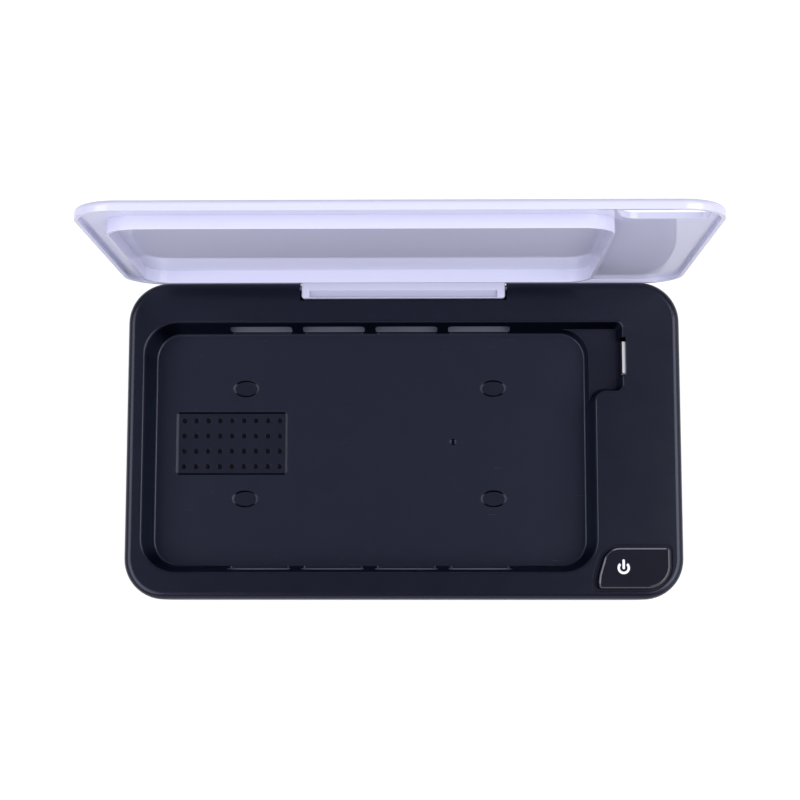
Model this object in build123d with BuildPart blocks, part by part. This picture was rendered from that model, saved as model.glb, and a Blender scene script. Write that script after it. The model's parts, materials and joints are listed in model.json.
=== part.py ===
from build123d import *
import os
from math import cos, hypot, radians, sin, tan

# An ultraviolet sanitizing box for phones, standing open. Millimetres, +X to the right along the
# box, +Y to the hinge side, +Z up. The origin lies on the table, under the middle of the open box.
# Plan positions are measured from the middle of the base, and depths from its deck.

os.makedirs("parts", exist_ok=True)

# --- base, overall --------------------------------------------------------------------------------
base_length = 220.0
base_depth = 126.2
base_height = 34.0          # from the underside of the bottom cover to the deck
base_corner = 16.0
base_wall = 2.2
deck_thickness = 2.2
deck_edge_radius = 2.9
cover_height = 10.0         # the part of base_height that the bottom cover takes
cover_floor = 2.0
cover_draft = 5.0           # degrees
cover_edge_radius = 2.5
seam_chamfer = 0.4
lip_thickness = 1.2
lip_height = 1.6
lip_clearance = 0.15

# --- feet -----------------------------------------------------------------------------------------
foot_radius = 5.0
foot_height = 1.2           # how far the feet stand out under the cover
foot_seat = 0.6             # depth of the recess that each foot is glued into
foot_seat_clearance = 0.1
foot_chamfer = 0.4
foot_inset_x = 20.0         # from the ends of the base to the centres of the feet
foot_inset_y = 15.0

# --- phone tray -----------------------------------------------------------------------------------
tray_length = 179.2
tray_width = 99.2
tray_left_margin = 6.9      # from the left end of the base to the tray's mouth
tray_front_margin = 10.8
tray_corner = 13.0
tray_depth = 14.0
tray_draft = 11.0           # degrees, of the pocket's walls too
tray_wall = 1.8
tray_floor = 2.0
tray_floor_radius = 0.9
tray_mouth_radius = 1.0

# --- lamp slots in the two long walls of the tray -------------------------------------------------
slot_count = 4
slot_length = 24.9
slot_pitch = 29.3
slot_height = 8.2
slot_corner = 1.6
slot_floor_gap = 0.6        # from the tray floor up to the slots
slot_wall = 0.7             # the wall that the lamp channels leave behind the slots
channel_margin = 0.6        # from the slots up to the roof of the lamp channels
channel_end_gap = 0.3       # from the lamp holders to the ends of the lamp channels

# --- shallow features of the tray floor -----------------------------------------------------------
mark_slope = 40.0           # degrees, of the walls of the marks and of the grille's recess
rest_length = 10.4
rest_width = 6.9
rest_depth = 0.8
rest_spacing_x = 100.1
rest_spacing_y = 44.7
rest_offset_x = -0.35       # the offsets are from the middle of the tray
rest_offset_y = 2.3
gate_mark_offset_x = 33.4
gate_mark_offset_y = 2.9
gate_mark_radius = 1.3
gate_mark_depth = 0.6
grille_offset_x = -56.0
grille_offset_y = 2.4
grille_length = 44.9
grille_width = 25.5
grille_depth = 0.9
grille_corner = 1.5
grille_columns = 9
grille_rows = 4
grille_pitch_x = 4.84
grille_pitch_y = 6.2
grille_hole_radius = 1.0

# --- side pocket for the phone's charging plug ----------------------------------------------------
pocket_reach = 10.9         # to the right of the tray's mouth
pocket_width = 27.6         # from the back edge of the tray's mouth
pocket_floor = 1.8
pocket_floor_gap = 0.2      # from the underside of the charging socket down to the pocket's floor
pocket_corner = 2.6
pocket_throat = 4.2         # radius of the S-curve that leads back to the tray wall

# --- charging socket (USB type A: the shell is 13.1 wide and 5.7 high) ----------------------------
socket_width = 13.1
socket_height = 5.7
socket_length = 14.0
socket_sheet = 0.3
socket_back_step = 14.0     # from the back of the pocket forward to the middle of the shell
socket_set_back = 0.3       # from the pocket's edge to the mouth of the shell
socket_drop = 2.6           # from the deck down to the shell
socket_window_gap = 1.3     # each side of the shell in the housing
socket_view = 1.5           # how far the cut in the deck reaches past the pocket's edge
tongue_width = 11.1
tongue_thickness = 1.84
tongue_reach = 8.8
tongue_drop = 0.75          # from the inside of the shell down to the tongue
tongue_clearance = 0.05     # from its rear block to the inside of the shell
contact_count = 4
contact_pitch = 2.25
contact_width = 1.0
contact_length = 5.2
contact_thickness = 0.12

# --- hinge ----------------------------------------------------------------------------------------
hinge_inset = 2.3           # from the back of the base to the hinge axis
hinge_drop = 2.25           # the hinge axis below the deck
pin_radius = 0.8
pin_clearance = 0.06
pin_press = 0.02
pin_in_tab = 10.0
pin_in_base = 4.0
tab_length = 81.6
tab_front = 1.7             # from the hinge axis to the tab's inner face
tab_back_gap = 0.1          # from the lid's outline to the tab's outer face
tab_reach = 4.2             # from the hinge axis down to the tab's free end
tab_end_radius = 0.8
tab_corner = 1.3
tab_groove_length = 75.2
tab_groove_width = 2.8
tab_groove_depth = 1.1
tab_groove_lip = 0.5
notch_side_gap = 0.6
notch_gap = 0.5             # around the tab's swing
notch_wall = 1.6
hinge_block_length = 6.5

# --- lid ------------------------------------------------------------------------------------------
lid_open = 90.0             # degrees from shut, where the rim lands on the back of the base
lid_height = 3.85           # from the rim's free edge to the outer face
lid_plate = 2.2
lid_rim = 1.5
lid_edge_radius = 1.8
lid_seat = 0.15             # between the shut rim and the deck
frame_height = 4.9          # from the inside of the plate to the frame's free edge
frame_wall = 1.2
frame_inset = 2.4           # from the tray's mouth to the outside of the frame
frame_corner = 11.0
window_gap = 0.6            # from the button to the lid's window
window_side = 3.0           # how much more at the button's left

# --- power button ---------------------------------------------------------------------------------
button_length = 27.9
button_width = 15.7
button_margin_x = 5.9       # from the right end of the base
button_margin_y = 4.35      # from the front of the base
button_lean = 3.6           # how far the upper corner of the curved left side lies to the right
button_knee = 4.0           # from the button's front to the lower corner of that side
button_side_round = 18.0
button_shoulder_round = 6.5
button_round = 9.0
button_small_round = 1.2
button_rise = 3.5
button_gap = 0.25
button_edge_radius = 0.9
button_flange = 1.1
button_flange_thickness = 1.2
button_flange_gap = 0.25
button_shell = 1.5
button_surround = 1.3
button_surround_side = 1.1  # how much more at the button's left
button_surround_depth = 0.4
button_travel = 0.5
stem_radius = 2.2

# --- control board under the right side of the deck -----------------------------------------------
board_thickness = 1.6
board_width = 17.6
board_margin_x = 9.4        # from the right end of the base
board_margin_front = 5.0
board_margin_back = 13.5
board_pocket_gap = 0.8      # the board is narrower beside the pocket
board_tab_width = 14.0
inlet_y = 7.0
board_tab_gap = 0.9         # from the tab to the side wall
board_screw_radius = 0.95
board_screw_length = 6.0
board_screw_head_radius = 1.9
board_screw_head_height = 1.3
board_post_radius = 2.3
board_post_inset = 3.3      # from the board's edges to the posts
board_post_y = -36.5        # of the two posts behind the button
board_post_socket_gap = 2.0 # between the post and the side of the charging socket
screw_clearance = 0.05

# --- tact switch and status lamp on the control board ---------------------------------------------
switch_inset_x = 9.8        # from the button's right to the switch
switch_inset_y = 8.3        # from the button's front to the switch and the lamp
switch_size = 6.0
switch_height = 3.5
plunger_radius = 1.75
plunger_rise = 1.2
plunger_depth = 1.6
plunger_clearance = 0.08
led_inset_x = 10.4          # from the button's left to the lamp
led_radius = 1.5
led_height = 3.6

# --- power inlet (micro USB) at the right end -----------------------------------------------------
inlet_width = 7.5
inlet_height = 2.8
inlet_length = 5.6
inlet_sheet = 0.25
inlet_bevel = 0.9
inlet_recess = 1.4          # from the outside of the wall to the mouth of the shell
inlet_window_gap = 1.0
inlet_tongue_width = 3.7
inlet_tongue_thickness = 0.6
inlet_tongue_length = 3.6

# --- ultraviolet lamps, reflectors and holders ----------------------------------------------------
lamp_radius = 1.6
lamp_length = 126.0
lamp_rise = 3.8             # from the tray floor up to the middle of the lamps
reflector_radius = 2.9
reflector_sheet = 0.3
reflector_end_gap = 0.1     # from the reflectors to the lamp holders
reflector_gap = 0.1         # from the thinned wall to the reflectors
reflector_opening = 100.0   # degrees that face the tray, above and below the lamp
holder_length = 7.0
holder_width = 4.7
holder_height = 7.0
holder_overlap = 5.0        # how much of the lamp's end is in its holder
holder_clearance = 0.05

# --- lamp driver under the tray -------------------------------------------------------------------
driver_x = 18.0
driver_y = -4.0
driver_length = 62.0
driver_width = 32.0
driver_thickness = 1.6
driver_post_radius = 2.6
driver_hole_inset = 3.5
transformer_x = 30.0
transformer_length = 16.0
transformer_width = 13.0
transformer_height = 8.0
transformer_waist = 1.6
transformer_gap = 2.4       # from its top to the underside of the tray
capacitor_x = 2.0
capacitor_radius = 3.2
capacitor_height = 7.0

# --- fragrance pad under the grille ---------------------------------------------------------------
cup_wall = 1.2
cup_height = 6.0
cup_margin = 1.0            # the cup reaches this far past the grille
cup_corner = 2.5
pad_gap = 0.4
cup_post_radius = 3.0
cup_post_spacing = 26.0

# --- lid sensor -----------------------------------------------------------------------------------
magnet_radius = 1.25
magnet_length = 2.0
magnet_x = 24.0
magnet_reach = 2.0          # from the hinge axis towards the tab's free end
magnet_clearance = 0.05
sensor_length = 4.0
sensor_height = 3.0
sensor_thickness = 1.5
sensor_drop = 5.4           # from the deck down to the middle of the sensor

# --- housing screws -------------------------------------------------------------------------------
screw_radius = 1.25
screw_length = 10.0
screw_head_radius = 2.4
screw_head_height = 1.6
screw_head_clearance = 0.2
screw_head_recess = 1.5     # from the underside of the cover up to the heads
boss_radius = 3.0
boss_overlap = 2.0          # how far above the seam the bosses of the housing end
well_radius = 3.8
screw_corner_inset_x = 9.0  # from the ends of the base to the screws in its corners
screw_corner_inset_y = 9.8
screw_side_inset = 6.1      # from the sides of the base to the other screws
screw_rear_x = 54.0
screw_front_x = 62.0
screw_right_y = -30.0

# --- values worked out from the ones above ---------------------------------------------------------
# heights
deck_level = foot_height + base_height
seam_level = foot_height + cover_height
hinge_level = deck_level - hinge_drop
boss_end = seam_level + boss_overlap
shut_underside = lid_seat                       # the rim's free edge above the deck, shut
shut_top = lid_seat + lid_height                # the lid's outer face above the deck, shut
shut_ceiling = shut_top - lid_plate

# places around the tray
tray_x = tray_left_margin + (tray_length - base_length) / 2
tray_y = tray_front_margin + (tray_width - base_depth) / 2
tray_right_edge = tray_x + tray_length / 2
tray_back_edge = tray_y + tray_width / 2
tray_front_edge = tray_y - tray_width / 2
grille_x = tray_x + grille_offset_x
grille_y = tray_y + grille_offset_y
pocket_left = tray_right_edge - tray_corner
pocket_right = tray_right_edge + pocket_reach
pocket_front = tray_back_edge - pocket_width
pocket_depth = socket_drop + socket_height + pocket_floor_gap
socket_y = tray_back_edge - socket_back_step
socket_front = pocket_right + socket_set_back

# the hinge, and the shift that puts the middle of the open box over the origin
hinge_y = base_depth / 2 - hinge_inset
back_of_open_lid = hinge_y + shut_top + hinge_drop
centre_shift = (base_depth / 2 - back_of_open_lid) / 2
tab_back = hinge_inset - tab_back_gap
notch_front = hinge_y - hypot(tab_front, tab_reach) - notch_gap
notch_depth = hinge_drop + hypot(tab_back, tab_reach) + notch_gap
notch_half = tab_length / 2 + notch_side_gap

# the button, and the control board with what it carries
button_right = base_length / 2 - button_margin_x
button_left = button_right - button_length
button_front = button_margin_y - base_depth / 2
button_back = button_front + button_width
switch_x = button_right - switch_inset_x
switch_y = button_front + switch_inset_y
led_x = button_left + led_inset_x
board_right = base_length / 2 - board_margin_x
board_left = board_right - board_width
board_front = board_margin_front - base_depth / 2
board_back = base_depth / 2 - board_margin_back
board_beside_pocket = pocket_right + tray_wall + board_pocket_gap
board_neck = pocket_front - tray_wall - board_pocket_gap
board_drop = socket_drop + socket_height        # from the deck down to the board's top
board_post_x = board_right - board_post_inset
board_posts = [
    (board_left + board_post_inset, board_post_y),
    (board_post_x, board_post_y),
    (board_post_x, socket_y - socket_width / 2 - board_post_socket_gap - board_post_radius),
    (board_post_x, board_back - board_post_inset),
]
inner_side = base_length / 2 - base_wall

# lamps
lamp_drop = tray_depth - lamp_rise
wall_slant = tan(radians(tray_draft))           # how far the walls move in for each millimetre down
lamp_offset = slot_wall - lamp_drop * wall_slant + reflector_gap + reflector_radius + reflector_sheet
lamp_places = {"rear": tray_back_edge + lamp_offset, "front": tray_front_edge - lamp_offset}
reflector_length = lamp_length - 2 * (holder_overlap + reflector_end_gap)
reflector_line = reflector_radius + reflector_sheet / 2
reflector_lip = lamp_offset - slot_wall + (lamp_drop + reflector_line) * wall_slant - reflector_gap

# housing screws, feet and the lamp driver's two posts
corner_x = base_length / 2 - screw_corner_inset_x
corner_y = base_depth / 2 - screw_corner_inset_y
side_y = base_depth / 2 - screw_side_inset
screw_places = [
    (-corner_x, corner_y),
    (screw_rear_x, side_y),
    (corner_x, corner_y),
    (-corner_x, -corner_y),
    (screw_front_x, -side_y),
    (base_length / 2 - screw_side_inset, screw_right_y),
]
foot_places = GridLocations(base_length - 2 * foot_inset_x, base_depth - 2 * foot_inset_y, 2, 2)
floor_level = foot_height + cover_floor
tray_underside = deck_level - tray_depth - tray_floor
driver_top = tray_underside - transformer_gap - transformer_height
driver_level = driver_top - driver_thickness
driver_post_height = driver_level - floor_level
driver_hole_x = driver_length / 2 - driver_hole_inset
driver_hole_y = driver_width / 2 - driver_hole_inset
driver_posts = [
    (driver_x - driver_hole_x, driver_y + driver_hole_y),
    (driver_x + driver_hole_x, driver_y - driver_hole_y),
]


def level(height):
    """The horizontal plane at a height over the table, centred on the base."""
    return Plane((0, centre_shift, height))


def below(depth):
    """The horizontal plane at a depth below the deck, centred on the base."""
    return level(deck_level - depth)


def lid_point(y, height):
    """A point of the shut lid over the base's middle line, swung open with the lid."""
    swing = radians(lid_open)
    forward = y - hinge_y
    up = height + hinge_drop
    return (
        0,
        centre_shift + hinge_y + forward * cos(swing) + up * sin(swing),
        hinge_level - forward * sin(swing) + up * cos(swing),
    )


def lid_plane(height):
    """The plane that lies at a height above the deck when the lid is shut, swung open with the lid."""
    swing = radians(lid_open)
    return Plane(origin=lid_point(0, height), x_dir=(1, 0, 0), z_dir=(0, sin(swing), cos(swing)))


def tab_back_plane():
    """The outer face of the lid's tab, with the hinge axis over its X axis and Y to the free end."""
    swing = radians(lid_open)
    origin = lid_point(hinge_y + tab_back, -hinge_drop)
    return Plane(origin=origin, x_dir=(1, 0, 0), z_dir=(0, cos(swing), -sin(swing)))


def across(x, y, height):
    """The plane square to X at a point, with the base's back to its right and up at its top."""
    return Plane((x, centre_shift + y, height), x_dir=(0, 1, 0), z_dir=(1, 0, 0))


def outline(inset=0.0, mode=Mode.ADD):
    """The outline of the base and of the shut lid."""
    RectangleRounded(base_length - 2 * inset, base_depth - 2 * inset, base_corner - inset, mode=mode)


def tray_outline(outward=0.0):
    """The mouth of the phone tray."""
    with Locations((tray_x, tray_y)):
        RectangleRounded(tray_length + 2 * outward, tray_width + 2 * outward, tray_corner + outward)


def box_between(low_x, high_x, low_y, high_y):
    """A rectangle from one corner to the other."""
    with Locations(((low_x + high_x) / 2, (low_y + high_y) / 2)):
        Rectangle(high_x - low_x, high_y - low_y)


def save(piece, name):
    """Labels a finished piece and writes its STEP file."""
    piece.part.label = name
    export_step(piece.part, f"parts/{name}.step")


def button_shape(grow=0.0, side=0.0):
    """The button's outline, first widened at its left and then grown all round.

    Its curved left side follows the tray's corner, and its front right corner the base's own.
    """
    left = button_left - side
    start = left + 2 * button_small_round
    middle = (button_left + button_right) / 2
    with BuildLine() as edge:
        FilletPolyline(
            (start, button_front),
            (left, button_front),
            (left, button_front + button_knee),
            (left + button_lean, button_back),
            (button_right, button_back),
            (button_right, button_front),
            (middle, button_front),
            radius=(
                button_small_round,
                button_side_round,
                button_shoulder_round,
                button_small_round,
                button_round,
            ),
        )
        Line((middle, button_front), (start, button_front))
    make_face(edge.edges())
    if grow:
        offset(amount=grow)


# The pocket beside the tray: in line with the tray's back edge, and an S-curve into its right wall.
with BuildSketch() as pocket_outline:
    pocket_end = pocket_front - pocket_throat - screw_clearance
    with BuildLine():
        pocket_line = FilletPolyline(
            (pocket_left, tray_back_edge),
            (pocket_right, tray_back_edge),
            (pocket_right, pocket_front),
            (tray_right_edge, pocket_front),
            (tray_right_edge, pocket_end),
            radius=(pocket_corner, pocket_corner, pocket_throat),
        )
        Polyline(pocket_line @ 1, (pocket_left, pocket_end), pocket_line @ 0)
    make_face()


# --- upper housing --------------------------------------------------------------------------------
socket_cut_front = socket_y - socket_width / 2 - socket_window_gap
socket_cut_back = socket_y + socket_width / 2 + socket_window_gap
with BuildPart() as upper_housing:
    # outer block with a rounded top edge and a chamfered seam
    with BuildSketch(level(seam_level)):
        outline()
    extrude(amount=deck_level - seam_level)
    fillet(upper_housing.faces().sort_by(Axis.Z)[-1].edges(), deck_edge_radius)
    chamfer(upper_housing.faces().sort_by(Axis.Z)[0].edges(), seam_chamfer)
    with BuildSketch(level(seam_level)):
        outline(base_wall)
    extrude(amount=deck_level - deck_thickness - seam_level, mode=Mode.SUBTRACT)

    # what hangs under the deck: the tray, the pocket, the hinge block, posts and bosses
    with BuildSketch(below(deck_thickness / 2)):
        tray_outline(tray_wall)
    extrude(amount=deck_thickness / 2 - tray_depth - tray_floor, taper=tray_draft)
    with BuildSketch(below(deck_thickness / 2)):
        add(pocket_outline.sketch)
        offset(amount=tray_wall)
    extrude(amount=deck_thickness / 2 - pocket_depth - pocket_floor, taper=tray_draft)
    with BuildSketch(below(deck_thickness / 2)):
        block_half = notch_half + hinge_block_length
        box_between(-block_half, block_half, notch_front - notch_wall, (base_depth - base_wall) / 2)
    extrude(amount=deck_thickness / 2 - notch_depth - notch_wall)
    with BuildSketch(below(deck_thickness / 2)):
        with Locations(*screw_places):
            Circle(boss_radius)
    extrude(amount=boss_end - deck_level + deck_thickness / 2)
    with BuildSketch(below(deck_thickness / 2)):
        with Locations(*board_posts):
            Circle(board_post_radius)
    extrude(amount=deck_thickness / 2 - board_drop)

    # the pocket and the tray's upper part as one hollow with a rounded mouth, then the deeper tray
    with BuildSketch(level(deck_level)):
        tray_outline()
        add(pocket_outline.sketch)
    extrude(amount=-pocket_depth, taper=tray_draft, mode=Mode.SUBTRACT)
    deck = upper_housing.faces().sort_by(Axis.Z)[-1]
    fillet(deck.inner_wires().edges(), tray_mouth_radius)
    with BuildSketch(level(deck_level)):
        tray_outline()
    extrude(amount=-tray_depth, taper=tray_draft, mode=Mode.SUBTRACT)
    tray_floor_level = deck_level - tray_depth
    tray_bottom = upper_housing.faces().filter_by_position(
        Axis.Z, tray_floor_level - screw_clearance, tray_floor_level + screw_clearance
    )
    fillet(tray_bottom.sort_by(SortBy.AREA)[-1].edges(), tray_floor_radius)

    # the window of the charging socket
    window_start = pocket_right - 2 * tray_wall
    with BuildSketch(level(deck_level)):
        box_between(window_start, pocket_right + socket_view, socket_cut_front, socket_cut_back)
    extrude(amount=-deck_thickness, mode=Mode.SUBTRACT)
    with BuildSketch(below(deck_thickness)):
        box_between(window_start, pocket_right + 2 * tray_wall, socket_cut_front, socket_cut_back)
    extrude(amount=deck_thickness - pocket_depth, mode=Mode.SUBTRACT)

    # the notch that the lid's tab swings in, and the bores of the hinge pins
    with BuildSketch(level(deck_level)):
        box_between(-notch_half, notch_half, notch_front, base_depth)
    extrude(amount=-notch_depth, mode=Mode.SUBTRACT)
    with BuildSketch(across(0, hinge_y, hinge_level)):
        Circle(pin_radius + pin_clearance)
    extrude(amount=notch_half + pin_in_base, both=True, mode=Mode.SUBTRACT)

    # channels that thin both long walls from outside for the lamps, and the slots in front of them
    channel_half = lamp_length / 2 - holder_overlap + holder_length + channel_end_gap
    channel_roof = tray_depth - slot_floor_gap - slot_height - channel_margin
    for wall_edge, out in ((tray_back_edge, 1), (tray_front_edge, -1)):
        channel_edge = wall_edge + out * slot_wall
        far = wall_edge + out * 2 * tray_wall
        with BuildSketch(across(tray_x, 0, deck_level)):
            with BuildLine():
                Polyline(
                    (channel_edge - out * channel_roof * wall_slant, -channel_roof),
                    (channel_edge - out * tray_depth * wall_slant, -tray_depth),
                    (far, -tray_depth),
                    (far, -channel_roof),
                    close=True,
                )
            make_face()
        extrude(amount=channel_half, both=True, mode=Mode.SUBTRACT)
    slot_middle = tray_depth - slot_floor_gap - slot_height / 2
    slot_plane = Plane(
        (tray_x, centre_shift + tray_y, deck_level - slot_middle), x_dir=(1, 0, 0), z_dir=(0, -1, 0)
    )
    with BuildSketch(slot_plane):
        with GridLocations(slot_pitch, 1, slot_count, 1):
            RectangleRounded(slot_length, slot_height, slot_corner)
    extrude(amount=tray_width / 2 + 2 * tray_wall, both=True, mode=Mode.SUBTRACT)

    # shallow rests for the phone, the moulding's gate mark and the fragrance grille
    rest_x = tray_x + rest_offset_x
    rest_y = tray_y + rest_offset_y
    for place in GridLocations(rest_spacing_x, rest_spacing_y, 2, 2).locations:
        for depth in (0, rest_depth):
            shrink = depth * tan(radians(mark_slope))
            with BuildSketch(below(tray_depth + depth)):
                with Locations((rest_x + place.position.X, rest_y + place.position.Y)):
                    Ellipse(rest_length / 2 - shrink, rest_width / 2 - shrink)
        loft(mode=Mode.SUBTRACT)
    with BuildSketch(below(tray_depth)):
        with Locations((tray_x + gate_mark_offset_x, tray_y + gate_mark_offset_y)):
            Circle(gate_mark_radius)
    extrude(amount=-gate_mark_depth, taper=mark_slope, mode=Mode.SUBTRACT)
    with BuildSketch(below(tray_depth)):
        with Locations((grille_x, grille_y)):
            RectangleRounded(grille_length, grille_width, grille_corner)
    extrude(amount=-grille_depth, taper=mark_slope, mode=Mode.SUBTRACT)
    with BuildSketch(below(tray_depth)):
        with Locations((grille_x, grille_y)):
            with GridLocations(grille_pitch_x, grille_pitch_y, grille_columns, grille_rows):
                Circle(grille_hole_radius)
    extrude(amount=-(tray_floor + grille_depth), mode=Mode.SUBTRACT)

    # the button's opening in its shallow surround
    with BuildSketch(level(deck_level)):
        button_shape(button_surround, button_surround_side)
    extrude(amount=-button_surround_depth, mode=Mode.SUBTRACT)
    with BuildSketch(level(deck_level)):
        button_shape(button_gap)
    extrude(amount=-2 * deck_thickness, mode=Mode.SUBTRACT)

    # the power inlet's window in the right end
    with BuildSketch(across(base_length / 2, inlet_y, deck_level - board_drop + inlet_height / 2)):
        RectangleRounded(
            inlet_width + 2 * inlet_window_gap, inlet_height + 2 * inlet_window_gap, inlet_window_gap
        )
    extrude(amount=-2 * base_wall, mode=Mode.SUBTRACT)

    # pilot holes for the screws
    with BuildSketch(level(boss_end)):
        with Locations(*screw_places):
            Circle(screw_radius + screw_clearance)
    extrude(amount=screw_length, mode=Mode.SUBTRACT)
    with BuildSketch(below(board_drop)):
        with Locations(*board_posts):
            Circle(board_screw_radius + screw_clearance)
    extrude(amount=board_screw_length - board_thickness, mode=Mode.SUBTRACT)
save(upper_housing, "upper_housing")

# --- bottom cover ---------------------------------------------------------------------------------
with BuildPart() as bottom_cover:
    with BuildSketch(level(seam_level)):
        outline()
    extrude(amount=-cover_height, taper=cover_draft)
    fillet(bottom_cover.faces().sort_by(Axis.Z)[0].edges(), cover_edge_radius)
    chamfer(bottom_cover.faces().sort_by(Axis.Z)[-1].edges(), seam_chamfer)
    with BuildSketch(level(seam_level)):
        outline(base_wall)
    extrude(amount=-(cover_height - cover_floor), taper=cover_draft, mode=Mode.SUBTRACT)

    # the lip that centres the housing, rooted in the wall below the seam
    lip_inside = base_wall + lip_clearance + lip_thickness
    with BuildSketch(level(seam_level)):
        outline(base_wall / 2)
        outline(lip_inside, Mode.SUBTRACT)
    extrude(amount=-lip_height)
    with BuildSketch(level(seam_level)):
        outline(base_wall + lip_clearance)
        outline(lip_inside, Mode.SUBTRACT)
    extrude(amount=lip_height)

    # screw wells, driver posts and the posts that carry the fragrance cup
    with BuildSketch(level(foot_height + cover_floor / 2)):
        with Locations(*screw_places):
            Circle(well_radius)
    extrude(amount=boss_end - foot_height - cover_floor / 2)
    with BuildSketch(level(floor_level)):
        with Locations(*driver_posts):
            Circle(driver_post_radius)
    extrude(amount=driver_post_height)
    cup_level = tray_underside - cup_height
    with BuildSketch(level(floor_level)):
        with Locations((grille_x, grille_y)):
            with GridLocations(cup_post_spacing, 1, 2, 1):
                Circle(cup_post_radius)
    extrude(amount=cup_level - floor_level)
    with BuildSketch(level(seam_level)):
        outline()
        outline(base_wall + lip_clearance, Mode.SUBTRACT)
    extrude(amount=2 * boss_overlap, mode=Mode.SUBTRACT)

    # screw holes, pilot holes and the seats of the feet
    with BuildSketch(level(foot_height)):
        with Locations(*screw_places):
            Circle(screw_head_radius + screw_head_clearance)
    extrude(amount=screw_head_recess + screw_head_height, mode=Mode.SUBTRACT)
    with BuildSketch(level(foot_height)):
        with Locations(*screw_places):
            Circle(screw_radius + 2 * screw_clearance)
    extrude(amount=boss_end, mode=Mode.SUBTRACT)
    with BuildSketch(level(floor_level)):
        with Locations(*driver_posts):
            Circle(board_screw_radius + screw_clearance)
    extrude(amount=driver_post_height, mode=Mode.SUBTRACT)
    with BuildSketch(level(foot_height)):
        with foot_places:
            Circle(foot_radius + foot_seat_clearance)
    extrude(amount=foot_seat, mode=Mode.SUBTRACT)
save(bottom_cover, "bottom_cover")

with BuildPart() as rubber_feet:
    with BuildSketch(level(0)):
        with foot_places:
            Circle(foot_radius)
    extrude(amount=foot_height + foot_seat)
    chamfer(rubber_feet.edges().group_by(Axis.Z)[0], foot_chamfer)
save(rubber_feet, "rubber_feet")

with BuildPart() as housing_screws:
    head_level = foot_height + screw_head_recess
    with BuildSketch(level(head_level)):
        with Locations(*screw_places):
            Circle(screw_head_radius)
    extrude(amount=screw_head_height)
    chamfer(housing_screws.edges().group_by(Axis.Z)[0], screw_head_height / 4)
    with BuildSketch(level(head_level + screw_head_height)):
        with Locations(*screw_places):
            Circle(screw_radius)
    extrude(amount=boss_end + screw_length - head_level - screw_head_height - screw_radius)
save(housing_screws, "housing_screws")


# --- lamps, reflectors and holders ----------------------------------------------------------------
lamp_level = deck_level - lamp_drop
for side, lamp_y in lamp_places.items():
    with BuildPart() as uv_lamp:
        with BuildSketch(across(tray_x, lamp_y, lamp_level)):
            Circle(lamp_radius)
        extrude(amount=lamp_length / 2, both=True)
        chamfer(uv_lamp.edges(), lamp_radius / 2)
    save(uv_lamp, f"uv_lamp_{side}")

    # an arc from above the lamp round its back, and a flat lip under it up to the slots' sill
    towards_tray = -1 if side == "rear" else 1
    with BuildPart() as reflector:
        with BuildSketch(across(tray_x, lamp_y, lamp_level)):
            with BuildLine():
                CenterArc(
                    (0, 0),
                    reflector_line,
                    90 - towards_tray * (90 - reflector_opening / 2),
                    towards_tray * (270 - reflector_opening / 2),
                )
                Line((0, -reflector_line), (towards_tray * reflector_lip, -reflector_line))
            trace(line_width=reflector_sheet)
        extrude(amount=reflector_length / 2, both=True)
    save(reflector, f"reflector_{side}")

    for end, direction in {"left": -1, "right": 1}.items():
        holder_x = tray_x + direction * (lamp_length / 2 - holder_overlap)
        with BuildPart() as lamp_holder:
            with BuildSketch(across(holder_x, lamp_y, lamp_level)):
                RectangleRounded(holder_width, holder_height, lamp_radius / 2)
            extrude(amount=direction * holder_length)
            with BuildSketch(across(holder_x, lamp_y, lamp_level)):
                Circle(lamp_radius + holder_clearance)
            extrude(amount=direction * (holder_overlap + holder_clearance), mode=Mode.SUBTRACT)
        save(lamp_holder, f"lamp_holder_{side}_{end}")


# --- control board and what it carries ------------------------------------------------------------
with BuildPart() as control_board:
    with BuildSketch(below(board_drop)):
        box_between(board_left, board_right, board_front, board_neck)
        box_between(board_beside_pocket, board_right, board_neck, board_back)
        box_between(
            board_right - screw_clearance,
            inner_side - board_tab_gap,
            inlet_y - board_tab_width / 2,
            inlet_y + board_tab_width / 2,
        )
        with Locations(*board_posts):
            Circle(board_screw_radius + 2 * screw_clearance, mode=Mode.SUBTRACT)
    extrude(amount=-board_thickness)
save(control_board, "control_board")

with BuildPart() as board_screws:
    with BuildSketch(below(board_drop + board_thickness)):
        with Locations(*board_posts):
            Circle(board_screw_head_radius)
    extrude(amount=-board_screw_head_height)
    with BuildSketch(below(board_drop + board_thickness)):
        with Locations(*board_posts):
            Circle(board_screw_radius)
    extrude(amount=board_screw_length - board_screw_radius)
save(board_screws, "board_screws")

socket_middle = socket_drop + socket_height / 2
with BuildPart() as charging_socket_shell:
    with BuildSketch(across(socket_front, socket_y, deck_level - socket_middle)):
        RectangleRounded(socket_width, socket_height, 2 * socket_sheet)
    extrude(amount=socket_length)
    with BuildSketch(across(socket_front, socket_y, deck_level - socket_middle)):
        RectangleRounded(socket_width - 2 * socket_sheet, socket_height - 2 * socket_sheet, socket_sheet)
    extrude(amount=socket_length - socket_sheet, mode=Mode.SUBTRACT)
save(charging_socket_shell, "charging_socket_shell")

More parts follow.
